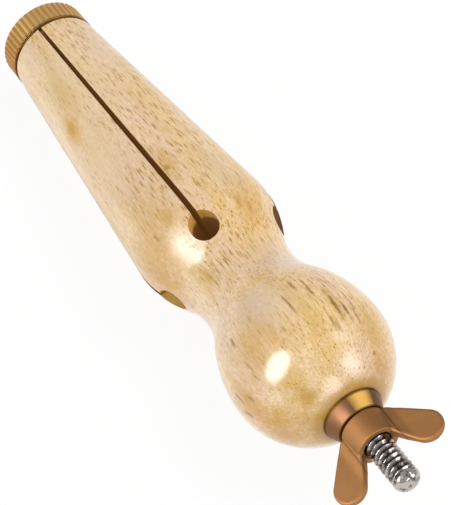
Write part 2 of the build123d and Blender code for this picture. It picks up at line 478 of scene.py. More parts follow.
        # The wood turns darker and more golden in the corner round the ferrule
        corner = (self.foot_from, self.foot_to)
        soft = {"interpolation_type": "SMOOTHSTEP"}
        footed = on.lay(stained_and_shaded, linear(self.foot), on.place, corner, (0.0, 0.85), **soft)
        coated = {
            "Base Color": footed,
            "Roughness": 0.5,
            "Specular IOR Level": 0.1,
            "Normal": on.add("Bump", {"Height": sunk, "Strength": 0.06, "Distance": 0.00003}, invert=True),
            "Coat Weight": 1.0,
            "Coat Roughness": self.lacquer_roughness,
            "Coat IOR": 1.6,
        }
        return on.add("BsdfPrincipled", coated)


@dataclass(frozen=True)
class RubbedHardwood(LacqueredHardwood):
    """The same lacquered wood on the nose, where rings slid on and off and rubbed the gloss duller."""

    lacquer_roughness: float = 0.34


@dataclass(frozen=True)
class SawnHardwood(Finish):
    """The same hardwood, sawn and drilled after lacquering: bare and matt, with painted shade deeper in the
    stop holes and a painted glow in every cut.
    """

    bare: str = "c9a24c"
    # Colour of the painted shade deep in the stop holes
    painted_hole_shade: str = "6b3c1c"
    kerf: str = "8a5620"
    # Colour of the painted glow in every cut
    painted_glow: str = "4b3012"
    deep: float = 10.1
    hole_shade_edge: float = 0.7
    hole_from: float = -30.4
    # Where, and how much nearer the mouth, the painted shade reaches on the back side
    back_shade_from: float = 4.0
    back_shade_to: float = 8.0
    back_shade_depth: float = 2.7
    tooth_pitch: float = 0.8
    tooth_length: float = 20 / 3

    def shade(self, on: Surface) -> Node:
        """Golden where the drill came in, painted shade deeper down, brown in the saw cut, and a painted glow
        over all of it.

        Args:
            on: The surface that it is drawn on.

        Returns:
            The shader node.
        """
        marks = on.patches(self.tooth_pitch, self.tooth_length, detail=3.0)
        uneven = on.add("Math", {0: marks, 1: 0.7, 2: on.radius}, operation="MULTIPLY_ADD")
        # Painted shade darkens the hole's wall deeper down, and on the back side it reaches nearer the mouth
        back = on.place.outputs[1]
        back_shade = on.add("MapRange", {0: back, 1: self.back_shade_from, 2: self.back_shade_to, 4: self.back_shade_depth})
        lit_measure = on.add("Math", {0: uneven, 1: back_shade}, operation="SUBTRACT")
        edge = (self.deep, self.deep + self.hole_shade_edge)
        drilled = on.lay(linear(self.painted_hole_shade), linear(self.bare), lit_measure, edge)
        in_hole = on.add("Math", {0: on.place, 1: self.hole_from}, operation="GREATER_THAN")
        # A painted glow in the sawn surfaces keeps the bottom of a cut brown and not black
        sawn = {
            "Base Color": on.add("Mix", {0: in_hole, 6: linear(self.kerf), 7: drilled}, data_type="RGBA"),
            "Roughness": 0.75,
            "Normal": on.add("Bump", {"Height": marks, "Strength": 0.4, "Distance": 0.0001}),
            "Emission Color": linear(self.painted_glow),
            "Emission Strength": 0.85,
        }
        return on.add("BsdfPrincipled", sawn)


@dataclass(frozen=True)
class TurnedBrass(Finish):
    """Brass turned on a lathe, knurled and slightly tarnished, and grimy down in the knurl's grooves.

    It gives the eye gold on the rubbed ridges, painted shade that turns one side of the rim copper-red,
    painted shade in the gap at the cap's foot and at the ferrule's joints, a painted highlight on one side of
    the ferrule, fine rings, and a browner, duller ferrule.
    """

    brass: str = "e2b266"
    tarnish: str = "c08a54"
    # Painted shade: the colour that the rim's ridges take on the side away from RIGHT_SIDE
    coppery_shade: str = "a2622f"
    rubbed: str = "fbca7c"
    # Colour of the knurl's grimy grooves and of the painted shade in the gap between cap and wood
    grime_and_shade: str = "4a2d14"
    collar: str = "80593e"
    # Painted highlight: the gold of a streak down one side of the ferrule
    painted_highlight: str = "ffcc6c"
    # Painted shade: the dark brown at the ferrule's joints with the ball and the nut
    painted_joint_shade: str = "5c3c0c"
    pooled: str = "8f6c28"
    highlight_side: Triple = (0.0, 0.138, 0.99)
    groove_radius: float = 8.26
    ridge_radius: float = 8.52
    knurl_floor: float = 8.16
    cone_from: float = -92.45
    cone_to: float = 12.9
    flange_radius: float = 5.48
    bearing: float = 16.2004
    drift_size: float = 20 / 7
    # Real turning marks are under 0.1 mm apart, too fine to show here, so the rings are drawn 0.22 mm apart
    ring_pitch: float = 0.22

    def metal(self, on: Surface, drift: Node, ferrule: Node) -> Node:
        """Metal that fingers keep brighter on the rim's ridges, with painted shade on one side of the rim and
        a painted highlight on one side of the ferrule.

        Args:
            on: The surface that it is drawn on.
            drift: Soft noise that the tarnish follows.
            ferrule: 1 on the ferrule and 0 on the cap.

        Returns:
            The node that gives the colour.
        """
        aged = on.lay(linear(self.brass), linear(self.tarnish), drift, (0.4, 0.7))
        # Painted shade: on the side away from RIGHT_SIDE the ridges darken to a copper red
        side = on.add("VectorMath", {0: on.grain, 1: RIGHT_SIDE}, operation="DOT_PRODUCT")
        ridge = on.lay(linear(self.rubbed), linear(self.coppery_shade), side, (-8.0, -1.0), (0.8, 0.0))
        rim = on.lay(aged, ridge, on.radius, (self.knurl_floor, self.ridge_radius))
        # Painted highlight: a gold streak down the side of the ferrule that faces one way across the tool
        toward_highlight = on.add("VectorMath", {0: on.grain, 1: self.highlight_side}, operation="DOT_PRODUCT")
        facing = on.add("Math", {0: toward_highlight, 1: on.radius}, operation="DIVIDE")
        collar = on.lay(linear(self.collar), linear(self.painted_highlight), facing, (0.9, 0.99))
        return on.add("Mix", {0: ferrule, 6: rim, 7: collar}, data_type="RGBA")

    def dirt_and_shade(self, on: Surface, ferrule: Node) -> Node:
        """How grimy the knurl's grooves are, and how much painted shade lies on the cone, round the rim's
        foot and along the ferrule's edges.

        Args:
            on: The surface that it is drawn on.
            ferrule: 1 on the ferrule and 0 on the cap.

        Returns:
            The node that gives it, from 0 to 1.
        """
        before = on.add("Math", {0: on.place, 1: self.cone_to}, operation="LESS_THAN")
        knurled = on.add("Math", {0: on.radius, 1: self.knurl_floor}, operation="GREATER_THAN")
        cone, flange, bearing = self.cone_from, self.flange_radius, self.bearing
        groove, ridge = self.groove_radius, self.ridge_radius
        in_groove = on.add("MapRange", {0: on.radius, 1: groove, 2: ridge, 3: 0.12, 4: 0.0})
        # Painted shade on the cone and the rim's foot, in the gap between cap and wood, and on the ferrule's
        # joints
        on_cone = on.add("MapRange", {0: on.place, 1: cone + 0.3, 2: cone + 0.4, 4: 0.6})
        at_foot = on.add("MapRange", {0: on.place, 1: cone - 0.35, 2: cone - 0.2, 4: 0.6})
        on_flange = on.add("MapRange", {0: on.radius, 1: flange - 0.12, 2: flange, 4: 0.85})
        on_face = on.add("MapRange", {0: on.place, 1: bearing - 0.16, 2: bearing - 0.08, 4: 0.8})
        edges = on.strongest(on_flange, on_face)
        pairs = ((on_cone, before), (ferrule, edges), (in_groove, knurled), (at_foot, before))
        dirt_and_shade_shares = [on.add("Math", {0: amount, 1: where}, operation="MULTIPLY") for amount, where in pairs]
        return on.strongest(*dirt_and_shade_shares)

    def shade(self, on: Surface) -> Node:
        """Golden brass, drifts of tarnish and fine rings from the turning tool, under painted shade, a
        painted highlight and the grooves' grimy colour.

        Args:
            on: The surface that it is drawn on.

        Returns:
            The shader node.
        """
        ferrule = on.add("Math", {0: on.place, 1: 0.0}, operation="GREATER_THAN")
        drift = on.add("TexNoise", {"Vector": on.grain, "Scale": 1 / self.drift_size, "Detail": 3.0})
        metal = self.metal(on, drift, ferrule)
        # On the cap this is the grooves' grimy colour and painted shade; on the ferrule it is painted shade
        # as dark as the ball's lacquer, paler where that lacquer is thick
        outermost = (self.flange_radius + 0.1, self.flange_radius + 0.2)
        ferrule_joint_shade = on.lay(linear(self.painted_joint_shade), linear(self.pooled), on.radius, outermost)
        soil_and_shade = on.add("Mix", {0: ferrule, 6: linear(self.grime_and_shade), 7: ferrule_joint_shade}, data_type="RGBA")
        dirt_and_shade = self.dirt_and_shade(on, ferrule)
        # The rings count along the axis and outwards, so that they show on the rim and on the faces
        across = on.add("Math", {0: on.place, 1: on.radius}, operation="SUBTRACT")
        fine = {"W": across, "Scale": 1 / self.ring_pitch, "Detail": 1.0}
        rings = on.add("TexNoise", fine, noise_dimensions="1D")
        tarnished = on.add("MapRange", {0: drift, 1: 0.3, 2: 0.8, 3: 0.3, 4: 0.45})
        turned = {
            "Base Color": on.add("Mix", {0: dirt_and_shade, 6: metal, 7: soil_and_shade}, data_type="RGBA"),
            "Metallic": 1.0,
            "Roughness": on.add("Math", {0: ferrule, 1: 0.15, 2: tarnished}, operation="MULTIPLY_ADD"),
            "Normal": on.add("Bump", {"Height": rings, "Strength": 0.12, "Distance": 0.00003}),
        }
        return on.add("BsdfPrincipled", turned)


@dataclass(frozen=True)
class CastBrass(Finish):
    """Brass cast in sand and tumbled, which leaves a satin, faintly grained copper-coloured skin."""

    satin: str = "a6774b"
    worn: str = "ae8050"
    # Colour of the painted shade, with tarnish, in the corner between hub and wing and round the mouth
    grime_and_shade: str = "3a2210"
    root_radius: float = 4.13
    root_reach: float = 0.45
    mouth_radius: float = 2.85
    mouth_reach: float = 0.3
    drift_size: float = 10 / 3
    grit: float = 0.3

    def shade(self, on: Surface) -> Node:
        """Satin copper-coloured metal with a fine cast grain, and painted shade in the corner and round the
        mouth.

        Args:
            on: The surface that it is drawn on.

        Returns:
            The shader node.
        """
        cast = on.add("TexNoise", {"Vector": on.grain, "Scale": 1 / self.grit, "Detail": 2.0})
        drift = on.add("TexNoise", {"Vector": on.grain, "Scale": 1 / self.drift_size, "Detail": 2.0})
        metal = on.lay(linear(self.satin), linear(self.worn), drift, (0.4, 0.7), (0.0, 0.7))
        # Painted shade, with the tarnish that polish doesn't reach, darkens the corner between hub and wing
        # and the mouth round the rod
        root, mouth = self.root_radius, self.mouth_radius
        outside = on.add("Math", {0: on.radius, 1: root}, operation="GREATER_THAN")
        corner = on.add("MapRange", {0: on.radius, 1: root, 2: root + self.root_reach, 3: 0.6, 4: 0.0})
        rooted = on.add("Math", {0: outside, 1: corner}, operation="MULTIPLY")
        sunk = on.add("MapRange", {0: on.radius, 1: mouth - self.mouth_reach, 2: mouth, 3: 0.9, 4: 0.0})
        corner_and_mouth_shade = on.strongest(rooted, sunk)
        tumbled = {
            "Base Color": on.add("Mix", {0: corner_and_mouth_shade, 6: metal, 7: linear(self.grime_and_shade)}, data_type="RGBA"),
            "Metallic": 1.0,
            "Roughness": 0.64,
            "Normal": on.add("Bump", {"Height": cast, "Strength": 0.1, "Distance": 0.00004}),
        }
        return on.add("BsdfPrincipled", tumbled)


@dataclass(frozen=True)
class PlatedSteel(Finish):
    """Steel with a rolled thread, bright plated, so it mirrors the room in thin black and white lines."""

    plate: str = "c2bab4"
    # Painted reflection: the dark blotches on the plate
    painted_dark_reflection: str = "332d29"
    # Colour of the painted shade down in the thread's roots, which are grimy as well
    grime_and_shade: str = "3a302a"
    # Painted shade and a painted glow on the rod where it is inside the wood
    painted_rod_shade: str = "1c120a"
    painted_rod_glow: str = "4a2a0c"
    groove_radius: float = 1.85
    crest_radius: float = 2.3
    thread_end: float = 29.1
    wood_end: float = 17.5
    glow_end: float = 10.0
    dent_size: float = 20 / 17

    def shade(self, on: Surface) -> Node:
        """Bright plate with painted shade down in the thread but not on the rounded end, painted dark
        reflections, and painted shade with a painted glow inside the wood.

        Args:
            on: The surface that it is drawn on.

        Returns:
            The shader node.
        """
        # Painted shade darkens the thread's roots, though not on the rounded end
        crest = on.add("MapRange", {0: on.radius, 1: self.groove_radius, 2: self.crest_radius})
        end = on.add("MapRange", {0: on.place, 1: self.thread_end, 2: self.thread_end + 0.4})
        unshaded_share = on.strongest(crest, end)
        metal = on.add("Mix", {0: unshaded_share, 6: linear(self.grime_and_shade), 7: linear(self.plate)}, data_type="RGBA")
        # Dark blotches on the plate are painted reflections of dark surroundings, and the rolled steel under
        # it is uneven
        dents = on.add("TexNoise", {"Vector": on.grain, "Scale": 1 / self.dent_size, "Detail": 2.0})
        with_dark_reflections = on.lay(metal, linear(self.painted_dark_reflection), dents, (0.5, 0.6), (0.0, 0.8))
        inside = (self.wood_end, self.wood_end + 0.5)
        # Inside the wood and the ferrule, and a little way into the nut, the rod is painted shade, near
        # black, and inside the wood it also has a brown painted glow
        plated = {
            "Base Color": on.lay(linear(self.painted_rod_shade), with_dark_reflections, on.place, inside),
            "Metallic": 1.0,
            "Roughness": 0.17,
            "Normal": on.add("Bump", {"Height": dents, "Strength": 0.6, "Distance": 0.0002}),
            "Emission Color": linear(self.painted_rod_glow),
            "Emission Strength": on.add("Math", {0: on.place, 1: self.glow_end}, operation="LESS_THAN"),
        }
        return on.add("BsdfPrincipled", plated)


@dataclass(frozen=True)
class MattPaper(Finish):
    """Plain white paper on the table. Part of its white is its own, so that it stays white in the picture."""

    white: str = "ffffff"
    own_light: float = 0.93

    def shade(self, on: Surface) -> Node:
        """Matt white, lifted where the picture or a mirroring metal sees it.

        Args:
            on: The surface that it is drawn on.

        Returns:
            The shader node.
        """
        path = on.add("LightPath")
        rays = ("Camera", "Glossy", "Transmission")
        seen = on.strongest(*(path.outputs[f"Is {ray} Ray"] for ray in rays))
        share = on.add("Math", {0: seen, 1: self.own_light}, operation="MULTIPLY")
        paper = on.add("BsdfDiffuse", {"Color": linear(self.white)})
        glow = on.add("Emission", {"Color": linear(self.white), "Strength": 1.0})
        return on.add("MixShader", {0: share, 1: paper, 2: glow})


def put(name: str, data: ID) -> Object:
    """Make an object of a mesh, a light or a camera, and put it in the scene.

    Args:
        name: The object's name.
        data: What it shows.

    Returns:
        The object.
    """
    made = bpy.data.objects.new(name, data)
    bpy.context.scene.collection.objects.link(made)
    return made


def finish_mesh(name: str, mesh: BMesh, finishes: list[Finish], body: str | None) -> Object:
    """Lay a lathe mesh where the tool lies, and make it an object that moves with a body.

    Args:
        name: The object's name.
        mesh: The mesh on the lathe drawing, which is freed.
        finishes: The finish of each material slot.
        body: The body that the piece rides on, or None, where it is attached to none.

    Returns:
        The object.
    """
    bmesh.ops.transform(mesh, matrix=TOOL.from_lathe(), verts=mesh.verts)
    data = bpy.data.meshes.new(name)
    mesh.to_mesh(data)
    mesh.free()
    data.shade_smooth()
    for finish in finishes:
        data.materials.append(finish.material())
    piece = put(name, data)
    if body:
        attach(piece, body)
    log.info("%s: %d faces", name, len(data.polygons))
    return piece


def close(mesh: BMesh, distance: float = 0.0005) -> None:
    """Merge a mesh's seams and poles, where points are nearer than a distance, and point its faces outwards.

    Args:
        mesh: The mesh.
        distance: The distance in millimetres.
    """
    bmesh.ops.remove_doubles(mesh, verts=mesh.verts, dist=distance)
    bmesh.ops.dissolve_degenerate(mesh, edges=mesh.edges, dist=distance / 10)
    bmesh.ops.recalc_face_normals(mesh, faces=mesh.faces)


def turned(outline: list[Pair], steps: int, start: float = 0.0) -> BMesh:
    """Spin a closed outline round the lathe's axis.

    Args:
        outline: Radius and place of each corner. The first follows the last.
        steps: Number of steps in the full turn.
        start: Angle of the first step.

    Returns:
        The closed mesh.
    """
    mesh = bmesh.new()
    corners = [mesh.verts.new((radius * cos(start), radius * sin(start), place)) for radius, place in outline]
    for first, second in zip(corners, corners[1:] + corners[:1]):
        mesh.edges.new((first, second))
    bmesh.ops.spin(
        mesh,
        geom=mesh.verts[:] + mesh.edges[:],
        cent=(0, 0, 0),
        axis=(0, 0, 1),
        angle=2 * pi,
        steps=steps,
        use_merge=True,
    )
    close(mesh)
    return mesh


def mark_sharp(mesh: BMesh, angle: float) -> None:
    """Mark the edges where two faces meet at more than an angle, so that smooth shading stops there.

    Args:
        mesh: The mesh.
        angle: The angle in degrees.
    """
    for edge in mesh.edges:
        if len(edge.link_faces) == 2 and edge.calc_face_angle() > radians(angle):
            edge.smooth = False


@dataclass
class TurnedWood:
    """The body: one piece of turned wood whose nose two saw cuts divide into four jaws."""

    nose_end_radius: float = 8.46
    nose_length: float = 59.67
    shoulder_radius: float = 13.56
    shoulder_to_ball: float = 32.08
    shoulder_round: float = 17.6
    flank_angle: float = radians(22.8)
    waist_round: float = 15.0
    crown_radius: float = 24.9
    ball_radius: float = 14.5
    seat_radius: float = 6.0
    bore_radius: float = 2.9
    spigot_radius: float = 4.2
    spigot_length: float = 7.0
    mouth_radius: float = 7.921
    kerf_at_hole: float = 1.0
    kerf_at_tip: float = 0.66
    stop_hole_radius: float = 2.6
    hole_at: float = -27.65
    kerf_angle: float = radians(20.1)
    seam_at: float = -24.6
    edge_round: float = 0.13
    sharp_angle: float = 35.0
    turn_steps: int = 128
    kerf_steps: int = 19
    kerf_step: float = 2.9
    shoulder_steps: int = 20
    shoulder_step: float = 0.4
    hole_steps: int = 36
    neck_steps: int = 90
    ball_steps: int = 60
    jaws: dict[str, float] = field(
        default_factory=lambda: {"top": -24.9, "front": 65.1, "bottom": 155.1, "back": 245.1}
    )

    def __post_init__(self) -> None:
        """Work out the turned outline's arcs from the sizes."""
        self.shoulder_at = -self.shoulder_to_ball
        self.nose_end = self.shoulder_at - self.nose_length
        self.seat_at = sqrt(self.ball_radius**2 - self.seat_radius**2)
        self.slope = atan2(self.shoulder_radius - self.nose_end_radius, self.nose_length)
        tangent = self.shoulder_round * tan((self.slope + self.flank_angle) / 2)
        self.round_at = self.shoulder_at - tangent * cos(self.slope) + self.shoulder_round * sin(self.slope)
        self.round_radius = (
            self.shoulder_radius - tangent * sin(self.slope) - self.shoulder_round * cos(self.slope)
        )
        self.round_from = self.round_at - self.shoulder_round * sin(self.slope)
        self.round_to = self.round_at + self.shoulder_round * sin(self.flank_angle)
        # The waist's arc touches the flank on its inner side and the crown's circle from outside
        self.crown_centre = self.ball_radius - self.crown_radius
        low, high = -30.0, -6.0
        for _ in range(60):
            middle = (low + high) / 2
            centre = self.waist_centre(middle)
            if hypot(centre - self.crown_centre, middle) > self.crown_radius + self.waist_round:
                low = middle
            else:
                high = middle
        self.waist_at = low
        self.waist_radius = self.waist_centre(low)
        self.waist_from = self.waist_at - self.waist_round * sin(self.flank_angle)
        share = self.waist_round / (self.waist_round + self.crown_radius)
        self.waist_to = self.waist_at * (1 - share)

    def waist_centre(self, place: float) -> float:
        """Radius at which the waist's arc, centred at a place, touches the straight flank."""
        flank = self.shoulder_radius - (place - self.shoulder_at) * tan(self.flank_angle)
        return flank + self.waist_round / cos(self.flank_angle)

    def radius_at(self, place: float) -> float:
        """Radius of the turned skin.

        Args:
            place: Place along the tool.

        Returns:
            The radius there.
        """
        if place < self.round_from:
            return self.nose_end_radius + (place - self.nose_end) * tan(self.slope)
        if place < self.round_to:
            return self.round_radius + sqrt(self.shoulder_round**2 - (place - self.round_at) ** 2)
        if place < self.waist_from:
            return self.shoulder_radius - (place - self.shoulder_at) * tan(self.flank_angle)
        if place < self.waist_to:
            return self.waist_radius - sqrt(self.waist_round**2 - (place - self.waist_at) ** 2)
        if place < 0:
            return self.crown_centre + sqrt(self.crown_radius**2 - place**2)
        return sqrt(max(self.ball_radius**2 - place**2, 0))

    def half_gap_at(self, place: float) -> float:
        """Half the gap between two jaws at a place: the saw cut's or the stop hole's, whichever is wider.

        Args:
            place: Place along the tool.

        Returns:
            Half the gap's width there.
        """
        reach = place - self.hole_at
        hole = sqrt(max(self.stop_hole_radius**2 - reach**2, 0))
        share = (place - self.nose_end) / (self.hole_at - self.nose_end)
        kerf = (self.kerf_at_tip + (self.kerf_at_hole - self.kerf_at_tip) * share) / 2
        return max(hole, kerf if place < self.hole_at else 0)

    def inner_radius_at(self, place: float) -> float:
        """Radius of a jaw's inner side: the mouth, the bore, or the corner that two stop holes leave."""
        mouth = self.mouth_radius - (place - self.nose_end)
        return max(mouth, self.bore_radius, self.half_gap_at(place) * sqrt(2) + 0.01)

    def skin_normal(self, point: Vector) -> Vector:
        """Direction square to the turned skin at a point of the lathe drawing.

        Args:
            point: The point.

        Returns:
            The unit direction.
        """
        step = 0.01
        place = min(max(point.z, self.nose_end + step), self.seat_at - step)
        rise = (self.radius_at(place + step) - self.radius_at(place - step)) / (2 * step)
        return Vector((point.x, point.y, -rise * hypot(point.x, point.y))).normalized()

    def smooth_skin(self, piece: Object) -> None:
        """Give the skin's corners the turned surface's own directions, so that no seam between pieces shows.

        Args:
            piece: A finished piece of the wood.
        """
        data = piece.data
        back = TOOL.from_lathe().inverted()
        turn = TOOL.from_lathe().to_3x3().normalized()
        normals = [Vector((0, 0, 0))] * len(data.loops)
        for face in data.polygons:
            if face.material_index:
                continue
            for index in face.loop_indices:
                point = back @ data.vertices[data.loops[index].vertex_index].co
                on_skin = abs(hypot(point.x, point.y) - self.radius_at(point.z)) < 0.002
                direction = (turn @ self.skin_normal(point)).normalized()
                if on_skin and direction.dot(face.normal) > 0.97:
                    normals[index] = direction
        data.normals_split_custom_set(normals)

    def jaw_stations(self) -> list[float]:
        """Places of a jaw's cross-sections, close together where the skin or the stop hole is round.

        Returns:
            The places in order.
        """
        mouth_end = self.nose_end + self.mouth_radius - self.bore_radius
        places = [self.nose_end, mouth_end, self.round_from, self.round_to, self.seam_at]
        places += [self.nose_end + self.kerf_step * (i + 1) for i in range(self.kerf_steps)]
        places += [self.round_from + self.shoulder_step * (i + 1) for i in range(self.shoulder_steps)]
        reach = sqrt(self.stop_hole_radius**2 - (self.kerf_at_hole / 2) ** 2)
        start = atan2(self.kerf_at_hole / 2, reach)
        for i in range(self.hole_steps + 1):
            turned = start + (pi - start) * i / self.hole_steps
            places.append(self.hole_at - self.stop_hole_radius * cos(turned))
        ordered = sorted(places)
        return [p for i, p in enumerate(ordered) if i == 0 or p - ordered[i - 1] > 0.005]

    def build_jaw(self, name: str, turn: float) -> None:
        """Build one jaw from the nose's end to behind the stop hole, where the wood is whole.

        Args:
            name: Which jaw.
            turn: Its middle's angle from the top towards the front, in degrees.
        """
        mesh = bmesh.new()
        skin = [mesh.verts.new((self.radius_at(place), 0, place)) for place in self.jaw_stations()]
        edges = [mesh.edges.new(pair) for pair in zip(skin, skin[1:])]
        inner = bmesh.ops.extrude_edge_only(mesh, edges=edges)["geom"]
        for vert in inner:
            if isinstance(vert, BMVert):
                vert.co.x = self.inner_radius_at(vert.co.z)
        bmesh.ops.rotate(mesh, cent=(0, 0, 0), matrix=Matrix.Rotation(-pi / 4, 3, "Z"), verts=mesh.verts)
        bmesh.ops.spin(
            mesh,
            geom=mesh.verts[:] + mesh.edges[:] + mesh.faces[:],
            cent=(0, 0, 0),
            axis=(0, 0, 1),
            angle=pi / 2,
            steps=self.turn_steps // 4,
        )
        on_skin = {v for v in mesh.verts if abs(hypot(v.co.x, v.co.y) - self.radius_at(v.co.z)) < 1e-4}
        sawn = {v for v in mesh.verts if abs(abs(atan2(v.co.y, v.co.x)) - pi / 4) < 1e-4}
        for face in mesh.faces:
            face.material_index = 0 if all(v in on_skin for v in face.verts) else 1
        # The broken edge stops just short of the hole's far end, where the two sides meet
        open_from = self.hole_at + self.stop_hole_radius - 0.004
        rim = [
            edge
            for edge in mesh.edges
            if all(v in on_skin and v in sawn and v.co.z < open_from for v in edge.verts)
            or all(v in on_skin and v.co.z < self.nose_end + 1e-3 for v in edge.verts)
        ]
        for vert in mesh.verts:
            radius = hypot(vert.co.x, vert.co.y)
            narrowed = pi / 4 - asin(min(self.half_gap_at(vert.co.z) / radius, 1))
            angle = atan2(vert.co.y, vert.co.x) * max(narrowed, 0) / (pi / 4) + radians(turn)
            vert.co.x, vert.co.y = radius * cos(angle), radius * sin(angle)
        bmesh.ops.bevel(
            mesh,
            geom=rim,
            offset=self.edge_round,
            offset_type="OFFSET",
            affect="EDGES",
            segments=2,
            profile=0.5,
            material=-1,
            clamp_overlap=True,
        )
        close(mesh)
        mark_sharp(mesh, self.sharp_angle)
        piece = finish_mesh(f"wood_jaw_{name}", mesh, [RubbedHardwood(), SawnHardwood()], None)
        self.smooth_skin(piece)
        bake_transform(piece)
        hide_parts(f"jaw_{name}")

    def build_handle(self) -> None:
        """Build the whole wood behind the stop holes: waist, ball, seat of the ferrule and bore."""
        places = [self.seam_at * (1 - i / self.neck_steps) for i in range(self.neck_steps)]
        outline = [(self.radius_at(place), place) for place in places]
        foot = asin(self.seat_radius / self.ball_radius)
        for i in range(self.ball_steps + 1):
            angle = pi / 2 - (pi / 2 - foot) * i / self.ball_steps
            outline.append((self.ball_radius * sin(angle), self.ball_radius * cos(angle)))
        deep = self.seat_at - self.spigot_length
        outline += [
            (self.spigot_radius, self.seat_at),
            (self.spigot_radius, deep),
            (self.bore_radius, deep),
            (self.bore_radius, self.seam_at),
        ]
        mesh = turned(outline, self.turn_steps, self.kerf_angle)
        for face in mesh.faces:
            skin = all(abs(hypot(v.co.x, v.co.y) - self.radius_at(v.co.z)) < 1e-3 for v in face.verts)
            face.material_index = 0 if skin or face.calc_center_median().z > self.seat_at - 1e-3 else 1
        mark_sharp(mesh, self.sharp_angle)
        piece = finish_mesh("wood_handle", mesh, [LacqueredHardwood(), SawnHardwood()], "handle")
        self.smooth_skin(piece)
        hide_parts("wooden_handle")

    def build(self) -> None:
        """Build the four jaws and the handle."""
        for name, turn in self.jaws.items():
            self.build_jaw(name, turn)
        self.build_handle()


@dataclass
class ExpanderCap:
    """Knurled brass rim and the cone behind it that spreads the jaws."""

    rim_radius: float = 8.55
    rim_bevel: float = 0.45
    cap_face: float = -97.5
    rim_foot: float = -92.45
    rod_start: float = -95.85
    cone_end_radius: float = 3.8
    cone_nose: float = -87.7
    bore_radius: float = 2.413
    knurl_count: int = 48
    knurl_depth: float = 0.23
    knurl_band: float = 0.1
    neck_radius: float = 7.6
    step_radius: float = 8.22
    step_length: float = 0.33
    steps_per_knurl: int = 12
    sharp_angle: float = 50.0

    def groove(self, angle: float) -> float:
        """How deep the knurl is at an angle round the rim, from 0 on a ridge to 1 in a groove."""
        share = abs((angle * self.knurl_count / (2 * pi) + 0.5) % 1 - 0.5)
        return (1 + cos(2 * pi * share)) / 2

    def build(self) -> None:
        """Spin the cap, then press the knurl into its rim."""
        rim, bevel, face, foot = self.rim_radius, self.rim_bevel, self.cap_face, self.rim_foot
        knurl_end = foot - self.knurl_band
        outline = [
            (0, face),
            (4, face),
            (rim - bevel - 0.1, face),
            (rim - bevel, face + 0.03),
            (rim - 0.2, face + bevel - 0.2),
            (rim - 0.06, face + bevel - 0.03),
            (rim, face + bevel + 0.12),
            (rim, face + 1.5),
            (rim, knurl_end - 0.6),
            (rim, knurl_end - 0.07),
            (rim, knurl_end),
            (rim, foot - 0.14),
            (rim - 0.04, foot - 0.04),
            (rim - 0.14, foot),
            (self.step_radius, foot),
            (self.step_radius, foot + self.step_length),
            (self.neck_radius, foot + self.step_length),
            (self.neck_radius, foot + rim - self.neck_radius),
            (self.cone_end_radius + 0.1, self.cone_nose - 0.1),
            (self.cone_end_radius - 0.05, self.cone_nose),
            (self.bore_radius, self.cone_nose),
            (self.bore_radius, self.rod_start),
            (0, self.rod_start),
        ]
        mesh = turned(outline, self.knurl_count * self.steps_per_knurl)
        for vert in mesh.verts:
            radius = hypot(vert.co.x, vert.co.y)
            if vert.co.z < knurl_end - 0.03 and radius > rim - self.knurl_depth:
                allowed = rim - self.knurl_depth * self.groove(atan2(vert.co.y, vert.co.x))
                vert.co.x *= min(radius, allowed) / radius
                vert.co.y *= min(radius, allowed) / radius
        mark_sharp(mesh, self.sharp_angle)
        piece = finish_mesh("brass_expander_cap", mesh, [TurnedBrass()], "drawbar")
        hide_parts("expander_cap")


@dataclass
class Ferrule:
    """Brass collar let into the ball, on whose flange the wing nut bears."""

    bore_radius: float = 2.503
    spigot_radius: float = 4.2
    flange_radius: float = 5.55
    flange_edge: float = 0.35
    face_radius: float = 4.35
    height: float = 3.0
    spigot_length: float = 7.0
    seat_at: float = 13.2004
    softening: float = 0.1
    slack: float = 0.02
    sharp_angle: float = 25.0
    turn_steps: int = 96

    def build(self) -> None:
        """Spin the collar with its edges broken."""
        seat, edge, soft = self.seat_at, self.seat_at + self.flange_edge, self.softening
        face, foot = seat + self.height, seat - self.spigot_length
        outline = [
            (self.bore_radius, foot),
            (self.spigot_radius - self.slack, foot),
            (self.spigot_radius - self.slack, seat),
            (self.flange_radius - soft, seat),
            (self.flange_radius, seat + soft),
            (self.flange_radius, edge - soft),
            (self.flange_radius - soft * 0.7, edge + soft * 0.4),
            (self.face_radius + soft * 0.5, face - soft),
            (self.face_radius - soft, face),
            (self.bore_radius + soft, face),
            (self.bore_radius, face - soft),
        ]
        mesh = turned(outline, self.turn_steps)
        mark_sharp(mesh, self.sharp_angle)
        piece = finish_mesh("brass_ferrule", mesh, [TurnedBrass()], "handle")
        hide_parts("ferrule")


